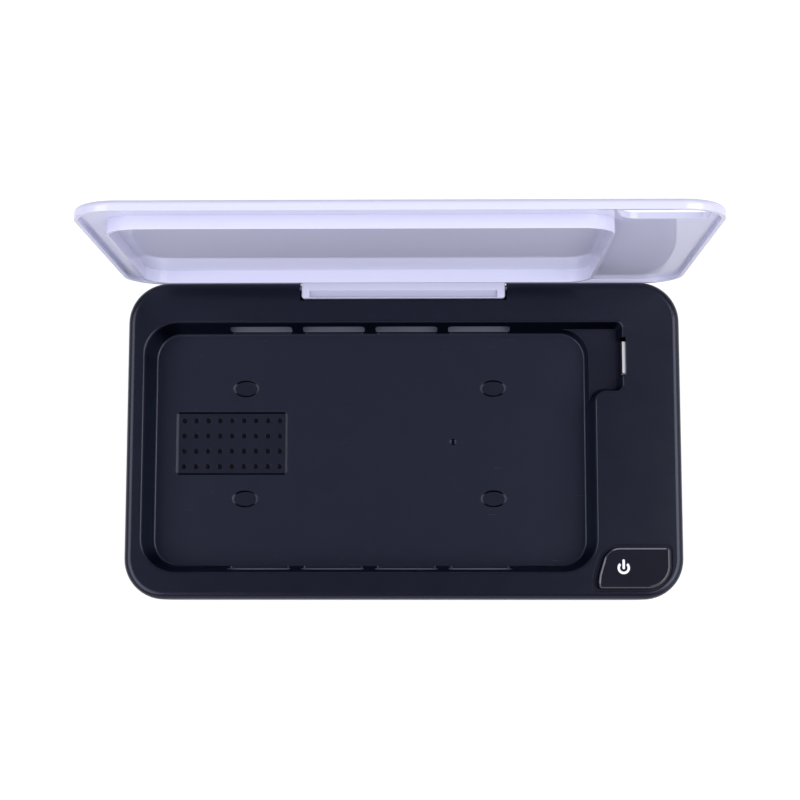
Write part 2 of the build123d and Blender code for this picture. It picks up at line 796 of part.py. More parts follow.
tongue_top = deck_level - socket_drop - socket_sheet - tongue_drop
socket_inside = socket_length - socket_sheet
with BuildPart() as charging_socket_tongue:
    with BuildSketch(
        across(socket_front + socket_inside - tongue_reach, socket_y, tongue_top - tongue_thickness / 2)
    ):
        Rectangle(tongue_width, tongue_thickness)
    extrude(amount=tongue_reach)
    chamfer(charging_socket_tongue.faces().sort_by(Axis.X)[0].edges(), tongue_thickness / 6)
    block_length = tongue_drop + tongue_thickness
    with BuildSketch(
        across(socket_front + socket_inside - block_length, socket_y, deck_level - socket_middle)
    ):
        block_inset = socket_sheet + tongue_clearance
        RectangleRounded(socket_width - 2 * block_inset, socket_height - 2 * block_inset, socket_sheet)
    extrude(amount=block_length)
save(charging_socket_tongue, "charging_socket_tongue")

with BuildPart() as charging_socket_contacts:
    contact_start = socket_front + socket_inside - tongue_reach + tongue_thickness / 2
    with BuildSketch(level(tongue_top - tongue_thickness)):
        with Locations((contact_start + contact_length / 2, socket_y)):
            with GridLocations(1, contact_pitch, 1, contact_count):
                Rectangle(contact_length, contact_width)
    extrude(amount=-contact_thickness)
save(charging_socket_contacts, "charging_socket_contacts")

inlet_front = base_length / 2 - inlet_recess
inlet_level = deck_level - board_drop + inlet_height / 2
with BuildPart() as inlet_shell:
    inlet_hollow = inlet_length - inlet_sheet
    for shrink, depth, mode in ((0, inlet_length, Mode.ADD), (inlet_sheet, inlet_hollow, Mode.SUBTRACT)):
        with BuildSketch(across(inlet_front, inlet_y, inlet_level)):
            half_width = inlet_width / 2 - shrink
            half_height = inlet_height / 2 - shrink
            with BuildLine():
                Polyline(
                    (-half_width, half_height),
                    (half_width, half_height),
                    (half_width, inlet_bevel - half_height),
                    (half_width - inlet_bevel, -half_height),
                    (inlet_bevel - half_width, -half_height),
                    (-half_width, inlet_bevel - half_height),
                    close=True,
                )
            make_face()
        extrude(amount=-depth, mode=mode)
save(inlet_shell, "inlet_shell")

with BuildPart() as inlet_tongue:
    inlet_back = inlet_front - inlet_length + inlet_sheet
    with BuildSketch(across(inlet_back, inlet_y, inlet_level)):
        Rectangle(inlet_tongue_width, inlet_tongue_thickness)
    extrude(amount=inlet_tongue_length)
save(inlet_tongue, "inlet_tongue")

with BuildPart() as tact_switch:
    with BuildSketch(below(board_drop)):
        with Locations((switch_x, switch_y)):
            RectangleRounded(switch_size, switch_size, switch_size / 10)
    extrude(amount=switch_height)
    with BuildSketch(below(board_drop - switch_height)):
        with Locations((switch_x, switch_y)):
            Circle(plunger_radius + plunger_clearance)
    extrude(amount=-(plunger_depth + button_travel + plunger_clearance), mode=Mode.SUBTRACT)
save(tact_switch, "tact_switch")

with BuildPart() as status_led:
    with BuildSketch(below(board_drop)):
        with Locations((led_x, switch_y)):
            Circle(led_radius)
    extrude(amount=led_height)
    fillet(status_led.edges().group_by(Axis.Z)[-1], led_radius * 0.9)
save(status_led, "status_led")


# --- button, on its own slide ---------------------------------------------------------------------
plunger_top = board_drop - switch_height - plunger_rise
with BuildPart() as switch_plunger:
    with BuildSketch(below(plunger_top)):
        with Locations((switch_x, switch_y)):
            Circle(plunger_radius)
    extrude(amount=-(plunger_rise + plunger_depth))
save(switch_plunger, "switch_plunger")

flange_top = deck_thickness + button_flange_gap
flange_bottom = flange_top + button_flange_thickness
with BuildPart() as button_cap:
    with BuildSketch(below(flange_bottom)):
        button_shape()
    extrude(amount=flange_bottom + button_rise)
    fillet(button_cap.faces().sort_by(Axis.Z)[-1].edges(), button_edge_radius)
    with BuildSketch(below(flange_bottom)):
        button_shape(button_flange)
    extrude(amount=button_flange_thickness)
    with BuildSketch(below(flange_bottom)):
        button_shape(-button_shell)
    extrude(amount=flange_bottom + button_rise - button_shell, mode=Mode.SUBTRACT)
    with BuildSketch(below(plunger_top)):
        with Locations((switch_x, switch_y)):
            Circle(stem_radius)
    extrude(amount=plunger_top + button_rise - button_shell / 2)
save(button_cap, "button_cap")


# --- lamp driver on the bottom cover --------------------------------------------------------------
with BuildPart() as driver_board:
    with BuildSketch(level(driver_level)):
        with Locations((driver_x, driver_y)):
            Rectangle(driver_length, driver_width)
        with Locations(*driver_posts):
            Circle(board_screw_radius + 2 * screw_clearance, mode=Mode.SUBTRACT)
    extrude(amount=driver_thickness)
save(driver_board, "driver_board")

with BuildPart() as driver_screws:
    with BuildSketch(level(driver_top)):
        with Locations(*driver_posts):
            Circle(board_screw_head_radius)
    extrude(amount=board_screw_head_height)
    with BuildSketch(level(driver_top)):
        with Locations(*driver_posts):
            Circle(board_screw_radius)
    extrude(amount=-(driver_thickness + driver_post_height - board_screw_radius))
save(driver_screws, "driver_screws")

with BuildPart() as driver_transformer:
    with BuildSketch(level(driver_top)):
        with Locations((transformer_x, driver_y)):
            RectangleRounded(transformer_length, transformer_width, transformer_waist / 2)
    extrude(amount=transformer_height)
    with BuildSketch(level(driver_top + transformer_height / 4)):
        with Locations((transformer_x, driver_y)):
            Rectangle(transformer_length + transformer_waist, transformer_width + transformer_waist)
            Rectangle(
                transformer_length - transformer_waist,
                transformer_width - transformer_waist,
                mode=Mode.SUBTRACT,
            )
    extrude(amount=transformer_height / 2, mode=Mode.SUBTRACT)
save(driver_transformer, "driver_transformer")

with BuildPart() as driver_capacitor:
    with BuildSketch(level(driver_top)):
        with Locations((capacitor_x, driver_y)):
            Circle(capacitor_radius)
    extrude(amount=capacitor_height)
    chamfer(driver_capacitor.edges().group_by(Axis.Z)[-1], capacitor_radius / 8)
save(driver_capacitor, "driver_capacitor")


# --- fragrance cup and pad ------------------------------------------------------------------------
cup_length = grille_length + 2 * cup_margin
cup_width = grille_width + 2 * cup_margin
with BuildPart() as fragrance_cup:
    with BuildSketch(level(cup_level)):
        with Locations((grille_x, grille_y)):
            RectangleRounded(cup_length, cup_width, cup_corner)
    extrude(amount=cup_height)
    with BuildSketch(level(cup_level + cup_wall)):
        with Locations((grille_x, grille_y)):
            RectangleRounded(cup_length - 2 * cup_wall, cup_width - 2 * cup_wall, cup_corner - cup_wall)
    extrude(amount=cup_height, mode=Mode.SUBTRACT)
save(fragrance_cup, "fragrance_cup")

with BuildPart() as fragrance_pad:
    with BuildSketch(level(cup_level + cup_wall)):
        with Locations((grille_x, grille_y)):
            inside = cup_wall + pad_gap
            RectangleRounded(cup_length - 2 * inside, cup_width - 2 * inside, cup_corner - cup_wall)
    extrude(amount=cup_height - cup_wall - pad_gap)
save(fragrance_pad, "fragrance_pad")


# --- lid ------------------------------------------------------------------------------------------
with BuildPart() as lid_shell:
    # the dished plate with its rim
    with BuildSketch(lid_plane(shut_underside)):
        outline()
    extrude(amount=lid_height)
    fillet(lid_shell.faces().sort_by(Axis.Y)[-1].edges(), lid_edge_radius)
    with BuildSketch(lid_plane(shut_underside)):
        outline(lid_rim)
    extrude(amount=lid_height - lid_plate, mode=Mode.SUBTRACT)

    # the frame that drops into the tray
    with BuildSketch(lid_plane(shut_ceiling)):
        with Locations((tray_x, tray_y)):
            frame_length = tray_length - 2 * frame_inset
            frame_width = tray_width - 2 * frame_inset
            RectangleRounded(frame_length, frame_width, frame_corner)
            RectangleRounded(
                frame_length - 2 * frame_wall,
                frame_width - 2 * frame_wall,
                frame_corner - frame_wall,
                mode=Mode.SUBTRACT,
            )
    extrude(amount=-frame_height)

    # the hinge tab, with a groove in its inner face
    with BuildSketch(lid_plane(shut_ceiling + lid_plate / 2)):
        box_between(-tab_length / 2, tab_length / 2, hinge_y - tab_front, hinge_y + tab_back)
    extrude(amount=-(shut_ceiling + lid_plate / 2 + hinge_drop + tab_reach))
    fillet(lid_shell.faces().sort_by(Axis.Y)[0].edges().filter_by(Axis.Z), tab_corner)
    fillet(lid_shell.faces().sort_by(Axis.Y)[0].edges().filter_by(Axis.X), tab_end_radius)
    groove_end = tab_reach - tab_groove_lip
    with BuildSketch(lid_plane(-hinge_drop - groove_end)):
        box_between(
            -tab_groove_length / 2,
            tab_groove_length / 2,
            hinge_y - 2 * tab_front,
            hinge_y - tab_front + tab_groove_depth,
        )
    extrude(amount=tab_groove_width, mode=Mode.SUBTRACT)
    with BuildSketch(across(0, hinge_y, hinge_level)):
        Circle(pin_radius + pin_press)
    extrude(amount=tab_length, both=True, mode=Mode.SUBTRACT)
    with BuildSketch(across(0, hinge_y, hinge_level)):
        Circle(pin_radius + 2 * pin_press)
    extrude(amount=tab_length / 2 - pin_in_tab, both=True)

    # the magnet's hole in the tab's outer face, and the window over the button
    with BuildSketch(tab_back_plane()):
        with Locations((magnet_x, magnet_reach)):
            Circle(magnet_radius + magnet_clearance)
    extrude(amount=-(magnet_length + magnet_clearance), mode=Mode.SUBTRACT)
    with BuildSketch(lid_plane(shut_underside)):
        button_shape(window_gap, window_side)
    extrude(amount=2 * lid_height, mode=Mode.SUBTRACT)
save(lid_shell, "lid_shell")

with BuildPart() as lid_magnet:
    with BuildSketch(tab_back_plane()):
        with Locations((magnet_x, magnet_reach)):
            Circle(magnet_radius)
    extrude(amount=-magnet_length)
save(lid_magnet, "lid_magnet")

for end, direction in {"left": -1, "right": 1}.items():
    with BuildPart() as hinge_pin:
        pin_start = direction * (tab_length / 2 - pin_in_tab + pin_press)
        with BuildSketch(across(pin_start, hinge_y, hinge_level)):
            Circle(pin_radius)
        extrude(amount=direction * (pin_in_tab + notch_side_gap + pin_in_base - pin_clearance))
        chamfer(hinge_pin.edges(), pin_radius / 5)
    save(hinge_pin, f"hinge_pin_{end}")

with BuildPart() as lid_sensor:
    with BuildSketch(below(sensor_drop + sensor_height / 2)):
        box_between(
            magnet_x - sensor_length / 2,
            magnet_x + sensor_length / 2,
            notch_front - notch_wall - sensor_thickness,
            notch_front - notch_wall,
        )
    extrude(amount=sensor_height)
    chamfer(lid_sensor.faces().sort_by(Axis.Y)[0].edges().filter_by(Axis.Z), sensor_thickness / 3)
save(lid_sensor, "lid_sensor")
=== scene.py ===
import json
from math import pi, radians

import bmesh
import bpy
from mathutils import Matrix, Vector


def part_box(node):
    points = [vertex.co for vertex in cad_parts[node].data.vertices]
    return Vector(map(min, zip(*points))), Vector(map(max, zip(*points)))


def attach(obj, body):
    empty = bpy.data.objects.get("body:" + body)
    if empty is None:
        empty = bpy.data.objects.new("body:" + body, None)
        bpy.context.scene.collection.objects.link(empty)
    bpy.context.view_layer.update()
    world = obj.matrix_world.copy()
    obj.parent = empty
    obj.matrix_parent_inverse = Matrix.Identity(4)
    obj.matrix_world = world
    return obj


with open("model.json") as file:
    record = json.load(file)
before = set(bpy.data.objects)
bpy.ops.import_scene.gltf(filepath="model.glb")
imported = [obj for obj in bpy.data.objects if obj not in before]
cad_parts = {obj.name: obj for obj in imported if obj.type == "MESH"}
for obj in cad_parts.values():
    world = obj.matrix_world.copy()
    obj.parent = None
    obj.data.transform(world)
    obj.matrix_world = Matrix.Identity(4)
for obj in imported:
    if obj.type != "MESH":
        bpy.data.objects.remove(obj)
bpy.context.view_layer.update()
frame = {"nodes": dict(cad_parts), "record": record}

# The looks of an ultraviolet sanitizing box for phones: a satin black base, a glossy white lid
# that stands open behind it, and a polished power button. Everything is in metres.

MM = 0.001
nodes = frame["nodes"]

# --- measures read from the frame ---------------------------------------------------------------
housing_low, housing_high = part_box("upper_housing")
button_low, button_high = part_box("button_cap")
deck_level = housing_high.z
base_middle_y = (housing_low.y + housing_high.y) / 2
socket_low, socket_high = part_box("charging_socket_shell")

# --- levels and places on the pieces --------------------------------------------------------------
tray_depth = 14.0 * MM
hinge_depth = 2.25 * MM             # of the hinge's axis under the deck
pocket_depth = 8.5 * MM             # of the plug pocket's floor under the deck
tray_floor = deck_level - tray_depth
hinge_level = deck_level - hinge_depth
pocket_level = deck_level - pocket_depth
groove_half = 37.6 * MM             # half the length of the groove in the lid's tab
groove_front = housing_high.y - 6.0 * MM
groove_back = groove_front + 2.8 * MM
hollow_low = Vector((housing_low.x + 5.0 * MM, housing_low.y + 8.0 * MM, tray_floor))
hollow_high = Vector((housing_high.x - 20.0 * MM, housing_high.y - 8.0 * MM, deck_level))
thin_edge = 0.03 * MM               # over which a change of shade fades out
soft_edge = 0.1 * MM

# --- the power sign on the button -----------------------------------------------------------------
sign_from_left = 10.75 * MM         # from the button's flange to the middle of the sign
sign_from_front = 9.0 * MM
sign_radius = 1.95 * MM             # to the middle of the stroke
sign_stroke = 0.95 * MM
sign_gap = radians(84)              # left open at the top
sign_bar = 3.85 * MM
sign_bar_top = 3.3 * MM             # above the middle of the ring
sign_height = 0.03 * MM             # the print stands this far out of the button


# --- node helpers ---------------------------------------------------------------------------------

# a Mix node has several sockets of one name, so those for colours go by number
MIX_MASK = 0
MIX_UNDER = 6
MIX_OVER = 7
MIX_COLOUR = 2

COLOUR = "NodeSocketColor"
VALUE = "NodeSocketFloat"


def add(tree, kind, **settings):
    """A new node, with its own settings by name."""
    node = tree.nodes.new(kind)
    for name, value in settings.items():
        setattr(node, name, value)
    return node


def join(tree, source, target):
    """Links one socket to another."""
    tree.links.new(source, target)


def maths(tree, operation, first, second=0.0):
    """A Math node, whose inputs are sockets or numbers."""
    node = add(tree, "ShaderNodeMath", operation=operation)
    for socket, value in zip(node.inputs, (first, second)):
        if isinstance(value, (int, float)):
            socket.default_value = value
        else:
            join(tree, value, socket)
    return node.outputs[0]


def noise(tree, coordinates, scale, detail=3.0, roughness=0.5):
    """A noise pattern's value, with its scale in features to the metre."""
    node = add(tree, "ShaderNodeTexNoise")
    join(tree, coordinates, node.inputs["Vector"])
    node.inputs["Scale"].default_value = scale
    node.inputs["Detail"].default_value = detail
    node.inputs["Roughness"].default_value = roughness
    return node.outputs["Fac"]


def group(name, inputs, outputs):
    """An empty shader node group with named sockets, its input node and its output node."""
    tree = bpy.data.node_groups.new(name, "ShaderNodeTree")
    for label, kind, value in inputs:
        socket = tree.interface.new_socket(name=label, in_out="INPUT", socket_type=kind)
        socket.default_value = value
    for label, kind in outputs:
        tree.interface.new_socket(name=label, in_out="OUTPUT", socket_type=kind)
    return tree, tree.nodes.new("NodeGroupInput"), tree.nodes.new("NodeGroupOutput")


def moulded_surface():
    """Moulded plastic: a slow change of shade, a fine grain and a patchy gloss."""
    tree, given, made = group(
        "moulded_surface",
        [
            ("Colour", COLOUR, (0.5, 0.5, 0.5, 1.0)),
            ("Shade Change", VALUE, 0.06),
            ("Grain Scale", VALUE, 4000.0),
            ("Gloss", VALUE, 0.3),
            ("Gloss Change", VALUE, 0.05),
        ],
        [("Colour", COLOUR), ("Roughness", VALUE), ("Height", VALUE)],
    )
    place = add(tree, "ShaderNodeTexCoord").outputs["Object"]
    slow = noise(tree, place, 18.0, 2.0)
    centred = maths(tree, "SUBTRACT", slow, 0.5)
    shade = maths(tree, "MULTIPLY_ADD", centred, given.outputs["Shade Change"])
    shade.node.inputs[2].default_value = 1.0
    shaded = add(tree, "ShaderNodeVectorMath", operation="SCALE")
    join(tree, given.outputs["Colour"], shaded.inputs[0])
    join(tree, shade, shaded.inputs["Scale"])
    join(tree, shaded.outputs[0], made.inputs["Colour"])

    patches = maths(tree, "SUBTRACT", noise(tree, place, 90.0, 4.0), 0.5)
    spread = maths(tree, "MULTIPLY", patches, given.outputs["Gloss Change"])
    join(tree, maths(tree, "ADD", given.outputs["Gloss"], spread), made.inputs["Roughness"])

    grain = add(tree, "ShaderNodeTexNoise")
    join(tree, place, grain.inputs["Vector"])
    join(tree, given.outputs["Grain Scale"], grain.inputs["Scale"])
    grain.inputs["Detail"].default_value = 2.0
    join(tree, grain.outputs["Fac"], made.inputs["Height"])
    return tree


hairline_turns = (0.4, 1.7, 2.6)    # the directions in which the hairlines run, in radians
hairline_stretch = (1.0, 22.0, 6.0)


def hairlines():
    """Fine hairline scratches, as a mask from 0 to 1."""
    tree, given, made = group(
        "hairlines",
        [("Scale", VALUE, 60.0), ("Amount", VALUE, 0.1)],
        [("Mask", VALUE)],
    )
    place = add(tree, "ShaderNodeTexCoord").outputs["Object"]
    total = None
    for angle in hairline_turns:
        turn = add(tree, "ShaderNodeMapping")
        turn.inputs["Rotation"].default_value = (angle / 3, angle / 5, angle)
        turn.inputs["Scale"].default_value = hairline_stretch
        join(tree, place, turn.inputs["Vector"])
        lines = add(tree, "ShaderNodeTexNoise")
        join(tree, turn.outputs[0], lines.inputs["Vector"])
        join(tree, given.outputs["Scale"], lines.inputs["Scale"])
        sharp = add(tree, "ShaderNodeMapRange")
        join(tree, lines.outputs["Fac"], sharp.inputs["Value"])
        sharp.inputs["From Min"].default_value = 0.72
        sharp.inputs["From Max"].default_value = 0.76
        line = sharp.outputs[0]
        total = line if total is None else maths(tree, "MAXIMUM", total, line)
    join(tree, maths(tree, "MULTIPLY", total, given.outputs["Amount"]), made.inputs["Mask"])
    return tree


def zone():
    """A mask that is 1 inside a box of the frame and fades to 0 at its sides."""
    tree, given, made = group(
        "zone",
        [
            ("Low X", VALUE, -1.0), ("High X", VALUE, 1.0),
            ("Low Y", VALUE, -1.0), ("High Y", VALUE, 1.0),
            ("Low Z", VALUE, -1.0), ("High Z", VALUE, 1.0),
            ("Edge", VALUE, 0.0001),
        ],
        [("Mask", VALUE)],
    )
    place = add(tree, "ShaderNodeTexCoord").outputs["Object"]
    parts = add(tree, "ShaderNodeSeparateXYZ")
    join(tree, place, parts.inputs[0])
    mask = None
    for axis, measure in zip("XYZ", parts.outputs):
        inner = maths(tree, "SUBTRACT", measure, given.outputs[f"Low {axis}"])
        outer = maths(tree, "SUBTRACT", given.outputs[f"High {axis}"], measure)
        nearest = maths(tree, "MINIMUM", inner, outer)
        inside = maths(tree, "DIVIDE", nearest, given.outputs["Edge"])
        inside.node.use_clamp = True
        mask = inside if mask is None else maths(tree, "MULTIPLY", mask, inside)
    join(tree, mask, made.inputs["Mask"])
    return tree


MOULDED = moulded_surface()
HAIRLINES = hairlines()
ZONE = zone()


def new_material(name):
    """A material with nothing but its Principled shader and its output."""
    material = bpy.data.materials.new(name)
    material.use_nodes = True
    tree = material.node_tree
    return material, tree, tree.nodes["Principled BSDF"]


def plastic(name, colour, gloss, shade=0.06, grain=4000.0, grain_height=0.002, spread=0.05,
            scratches=0.0, soften=0.0):
    """A moulded plastic or rubber. grain_height and soften, which rounds edges, are in millimetres."""
    material, tree, shader = new_material(name)
    surface = add(tree, "ShaderNodeGroup", node_tree=MOULDED)
    surface.inputs["Colour"].default_value = (*colour, 1.0)
    surface.inputs["Shade Change"].default_value = shade
    surface.inputs["Grain Scale"].default_value = grain
    surface.inputs["Gloss"].default_value = gloss
    surface.inputs["Gloss Change"].default_value = spread
    join(tree, surface.outputs["Colour"], shader.inputs["Base Color"])
    roughness = surface.outputs["Roughness"]
    if scratches:
        lines = add(tree, "ShaderNodeGroup", node_tree=HAIRLINES)
        lines.inputs["Amount"].default_value = scratches
        roughness = maths(tree, "ADD", roughness, lines.outputs["Mask"])
    join(tree, roughness, shader.inputs["Roughness"])
    bump = add(tree, "ShaderNodeBump")
    bump.inputs["Strength"].default_value = 1.0
    bump.inputs["Distance"].default_value = grain_height * MM
    join(tree, surface.outputs["Height"], bump.inputs["Height"])
    if soften:
        rounding = add(tree, "ShaderNodeBevel", samples=6)
        rounding.inputs["Radius"].default_value = soften * MM
        join(tree, rounding.outputs[0], bump.inputs["Normal"])
    join(tree, bump.outputs[0], shader.inputs["Normal"])
    return material


def zone_mask(tree, low, high, edge):
    """The mask of the box between two corners, with None where a side is open."""
    mask = add(tree, "ShaderNodeGroup", node_tree=ZONE)
    for axis, lowest, highest in zip("XYZ", low, high):
        for side, value in (("Low", lowest), ("High", highest)):
            if value is not None:
                mask.inputs[f"{side} {axis}"].default_value = value
    mask.inputs["Edge"].default_value = edge
    return mask.outputs["Mask"]


def tint(material, colour, mask):
    """Gives the part of a plastic that a mask covers another colour."""
    tree = material.node_tree
    surface = next(n for n in tree.nodes if n.type == "GROUP" and n.node_tree == MOULDED)
    socket = surface.inputs["Colour"]
    mix = add(tree, "ShaderNodeMix", data_type="RGBA")
    if socket.is_linked:
        join(tree, socket.links[0].from_socket, mix.inputs[MIX_UNDER])
    else:
        mix.inputs[MIX_UNDER].default_value = socket.default_value
    mix.inputs[MIX_OVER].default_value = (*colour, 1.0)
    join(tree, mask, mix.inputs[MIX_MASK])
    join(tree, mix.outputs[MIX_COLOUR], socket)


def tint_zone(material, colour, low, high, edge=soft_edge):
    """Gives the part of a plastic that lies in a box another colour."""
    tint(material, colour, zone_mask(material.node_tree, low, high, edge))


def hollow_zone(lowest, highest):
    """The two corners of the layer between two heights inside the tray's hollow."""
    return (hollow_low.x, hollow_low.y, lowest), (hollow_high.x, hollow_high.y, highest)


def paint_end_highlights(material, colour, low, high):
    """Paints highlights on the slopes in a box that face left or right, and returns their mask."""
    least = 0.4                     # of the surface's direction along X
    rise = 5.0
    tree = material.node_tree
    parts = add(tree, "ShaderNodeSeparateXYZ")
    join(tree, add(tree, "ShaderNodeTexCoord").outputs["Normal"], parts.inputs[0])
    along = maths(tree, "ABSOLUTE", parts.outputs["X"])
    steep = maths(tree, "MULTIPLY", maths(tree, "SUBTRACT", along, least), rise)
    steep.node.use_clamp = True
    ends = maths(tree, "MULTIPLY", steep, zone_mask(tree, low, high, thin_edge))
    tint(material, colour, ends)
    return ends


def metal(name, colour, gloss, brushed=0.0):
    """A plated or polished metal, with a fine brushed pattern where asked."""
    material, tree, shader = new_material(name)
    surface = add(tree, "ShaderNodeGroup", node_tree=MOULDED)
    surface.inputs["Colour"].default_value = (*colour, 1.0)
    surface.inputs["Gloss"].default_value = gloss
    surface.inputs["Gloss Change"].default_value = 0.12
    surface.inputs["Grain Scale"].default_value = 2500.0
    join(tree, surface.outputs["Colour"], shader.inputs["Base Color"])
    join(tree, surface.outputs["Roughness"], shader.inputs["Roughness"])
    shader.inputs["Metallic"].default_value = 1.0
    bump = add(tree, "ShaderNodeBump")
    bump.inputs["Distance"].default_value = brushed * MM
    join(tree, surface.outputs["Height"], bump.inputs["Height"])
    join(tree, bump.outputs[0], shader.inputs["Normal"])
    return material


def clear_glass(name, colour):
    """The quartz of the lamps: clear, with a little milkiness."""
    material, tree, shader = new_material(name)
    place = add(tree, "ShaderNodeTexCoord").outputs["Object"]
    haze = maths(tree, "MULTIPLY", noise(tree, place, 300.0), 0.1)
    join(tree, haze, shader.inputs["Roughness"])
    shader.inputs["Base Color"].default_value = (*colour, 1.0)
    shader.inputs["Transmission Weight"].default_value = 0.6
    return material


def housing_black():
    """The base's satin plastic, with painted light and shade in the layers of the tray's hollow."""
    black = plastic("satin_black", (0.0042, 0.0042, 0.0095), 0.25, shade=0.1, grain=5200.0,
                    grain_height=0.0025, spread=0.06, scratches=0.02, soften=0.25)
    tree = black.node_tree
    shader = tree.nodes["Principled BSDF"].inputs
    shader["Specular IOR Level"].default_value = 0.42
    shader["Specular Tint"].default_value = (0.74, 0.82, 1.0, 1.0)

    floor_layer = hollow_zone(tray_floor - 0.15 * MM, tray_floor + 1.0 * MM)
    wall_layer = hollow_zone(tray_floor + 0.8 * MM, deck_level - 0.9 * MM)
    slope_layer = hollow_zone(tray_floor - 0.78 * MM, tray_floor - 0.03 * MM)
    recess_layer = hollow_zone(tray_floor - 1.0 * MM, tray_floor - 0.76 * MM)
    end_layer = hollow_zone(tray_floor - 0.86 * MM, tray_floor - 0.03 * MM)
    pocket_left = socket_low.x - 28.0 * MM

    # painted light: the tray's floor lighter than the deck
    tint_zone(black, (0.0095, 0.0108, 0.0195), *floor_layer)
    # painted shade: the tray's walls and the slopes of the recesses darker than the floor
    walls = zone_mask(tree, *wall_layer, 0.3 * MM)
    slopes = zone_mask(tree, *slope_layer, thin_edge)
    # the pocket's floor is left out of the painted shade
    pocket_floor = zone_mask(tree, (pocket_left, hollow_low.y, pocket_level - 0.07 * MM),
                             (hollow_high.x, hollow_high.y, pocket_level + 0.08 * MM), thin_edge)
    painted_wall_shade = maths(tree, "SUBTRACT", maths(tree, "MAXIMUM", walls, slopes), pocket_floor)
    painted_wall_shade.node.use_clamp = True
    tint(black, (0.013, 0.0145, 0.0215), painted_wall_shade)
    # painted shade: the bottoms of the recesses darker than the tray's floor
    tint_zone(black, (0.0072, 0.0075, 0.0142), *recess_layer, thin_edge)
    # painted highlights on the ends of the recesses' slopes that face left or right
    ends = paint_end_highlights(black, (0.055, 0.057, 0.07), *end_layer)

    # the walls and slopes are made metallic in their tint, which darkens them further as painted shade,
    # except at the painted highlights of the ends
    wall_shade_by_metal = maths(tree, "SUBTRACT", painted_wall_shade, ends)
    wall_shade_by_metal.node.use_clamp = True
    join(tree, wall_shade_by_metal, shader["Metallic"])
    return black


def button_black():
    """The power button's polished plastic, with painted highlights on its rounded edge."""
    button = plastic("polished_black", (0.006, 0.0065, 0.011), 0.12, shade=0.05,
                     grain_height=0.0005, scratches=0.04, soften=0.2)
    lowest = button_high.z - 0.9 * MM
    highest = button_high.z - 0.04 * MM
    back = button_high.y - 2.1 * MM
    right = button_high.x - 2.6 * MM
    front = button_low.y + 3.0 * MM
    left = button_low.x + 4.0 * MM
    # painted highlight: a lighter band all round the rounded edge
    tint_zone(button, (0.03, 0.031, 0.04), (None, None, lowest), (None, None, highest), thin_edge)
    # painted highlight along the back edge, where it reflects the white lid
    tint_zone(button, (0.2, 0.205, 0.23), (None, back, lowest), (right, None, highest), thin_edge)
    # painted highlight along the left edge, where it reflects the white lid
    tint_zone(button, (0.15, 0.155, 0.175), (None, front, lowest), (left, None, highest), thin_edge)
    return button


def lid_white():
    """The lid's glossy plastic, with painted shade in the groove of its tab."""
    lid = plastic("glossy_white", (0.68, 0.685, 0.84), 0.07, shade=0.02, grain=900.0,
                  grain_height=0.0006, spread=0.04, scratches=0.06, soften=0.25)
    groove_bottom = hinge_level + 0.4 * MM
    groove_top = hinge_level + 1.6 * MM
    # painted shade: the groove of the tab darker than the rest of the lid
    tint_zone(lid, (0.52, 0.53, 0.66), (-groove_half, groove_front, groove_bottom),
              (groove_half, groove_back, groove_top))
    return lid


def socket_steel():
    """The charging socket's shell: bright steel along the top of its mouth, with painted shade below that
    and further back.
    """
    bright = metal("socket_steel", (0.95, 0.95, 0.95), 0.62, 0.001)
    bright.node_tree.nodes["Principled BSDF"].inputs["Metallic"].default_value = 0.1
    shell_top = socket_high.z - 0.2 * MM
    reach = socket_high.x + MM
    # painted shade: the shell darker below the top of its mouth
    tint_zone(bright, (0.01, 0.01, 0.01), (socket_low.x - MM, socket_low.y, None),
              (reach, socket_high.y, shell_top))
    # painted shade: the shell darker past the first millimetre back from its mouth
    tint_zone(bright, (0.05, 0.05, 0.05), (socket_low.x + 1.0 * MM, socket_low.y, None),
              (reach, socket_high.y, None), 0.2 * MM)
    return bright


def reflector_sheet():
    """The bent sheet behind the lamps, with painted shade on the front one."""
    sheet = metal("reflector_aluminium", (0.34, 0.35, 0.43), 0.35, 0.004)
    # painted shade: the front sheet darker than the back one
    tint_zone(sheet, (0.2, 0.205, 0.26), (None, None, None), (None, -10 * MM, None))
    return sheet


def finish_nodes():
    """Gives every CAD node its material."""
    cover = plastic("textured_black", (0.010, 0.011, 0.018), 0.5, shade=0.1, grain=2600.0,
                    grain_height=0.012, soften=0.2)
    finishes = {
        "black_housing": housing_black(),
        "black_button": button_black(),
        "white_lid": lid_white(),
        "foot_rubber": plastic("foot_rubber", (0.02, 0.02, 0.02), 0.75, grain_height=0.02),
        "holder_rubber": plastic("holder_rubber", (0.6, 0.6, 0.6), 0.6, grain_height=0.01),
        "socket_white": plastic("socket_white", (0.75, 0.75, 0.78), 0.4, grain_height=0.002),
        "dark_plastic": plastic("dark_plastic", (0.015, 0.015, 0.017), 0.5, grain_height=0.01),
        "circuit_board": plastic("circuit_board", (0.012, 0.016, 0.018), 0.35, shade=0.3,
                                 grain=1200.0, grain_height=0.01),
        "pad_felt": plastic("pad_felt", (0.004, 0.004, 0.008), 0.95, shade=0.3, grain=1500.0,
                            grain_height=0.2),
        "clear_lens": plastic("clear_lens", (0.7, 0.75, 0.85), 0.3),
        "screw_steel": metal("screw_steel", (0.56, 0.56, 0.57), 0.35, 0.002),
        "socket_steel": socket_steel(),
        "contact_brass": metal("contact_brass", (0.9, 0.68, 0.3), 0.25, 0.001),
        "reflector_aluminium": reflector_sheet(),
        "magnet_nickel": metal("magnet_nickel", (0.7, 0.7, 0.68), 0.2, 0.001),
        "lamp_glass": clear_glass("lamp_glass", (0.85, 0.87, 0.95)),
    }
    for entry in frame["record"]["subparts"]:
        piece = nodes[entry["node"]]
        material = cover if entry["node"] == "bottom_cover" else finishes[entry["material_slot"]]
        piece.data.materials.clear()
        piece.data.materials.append(material)


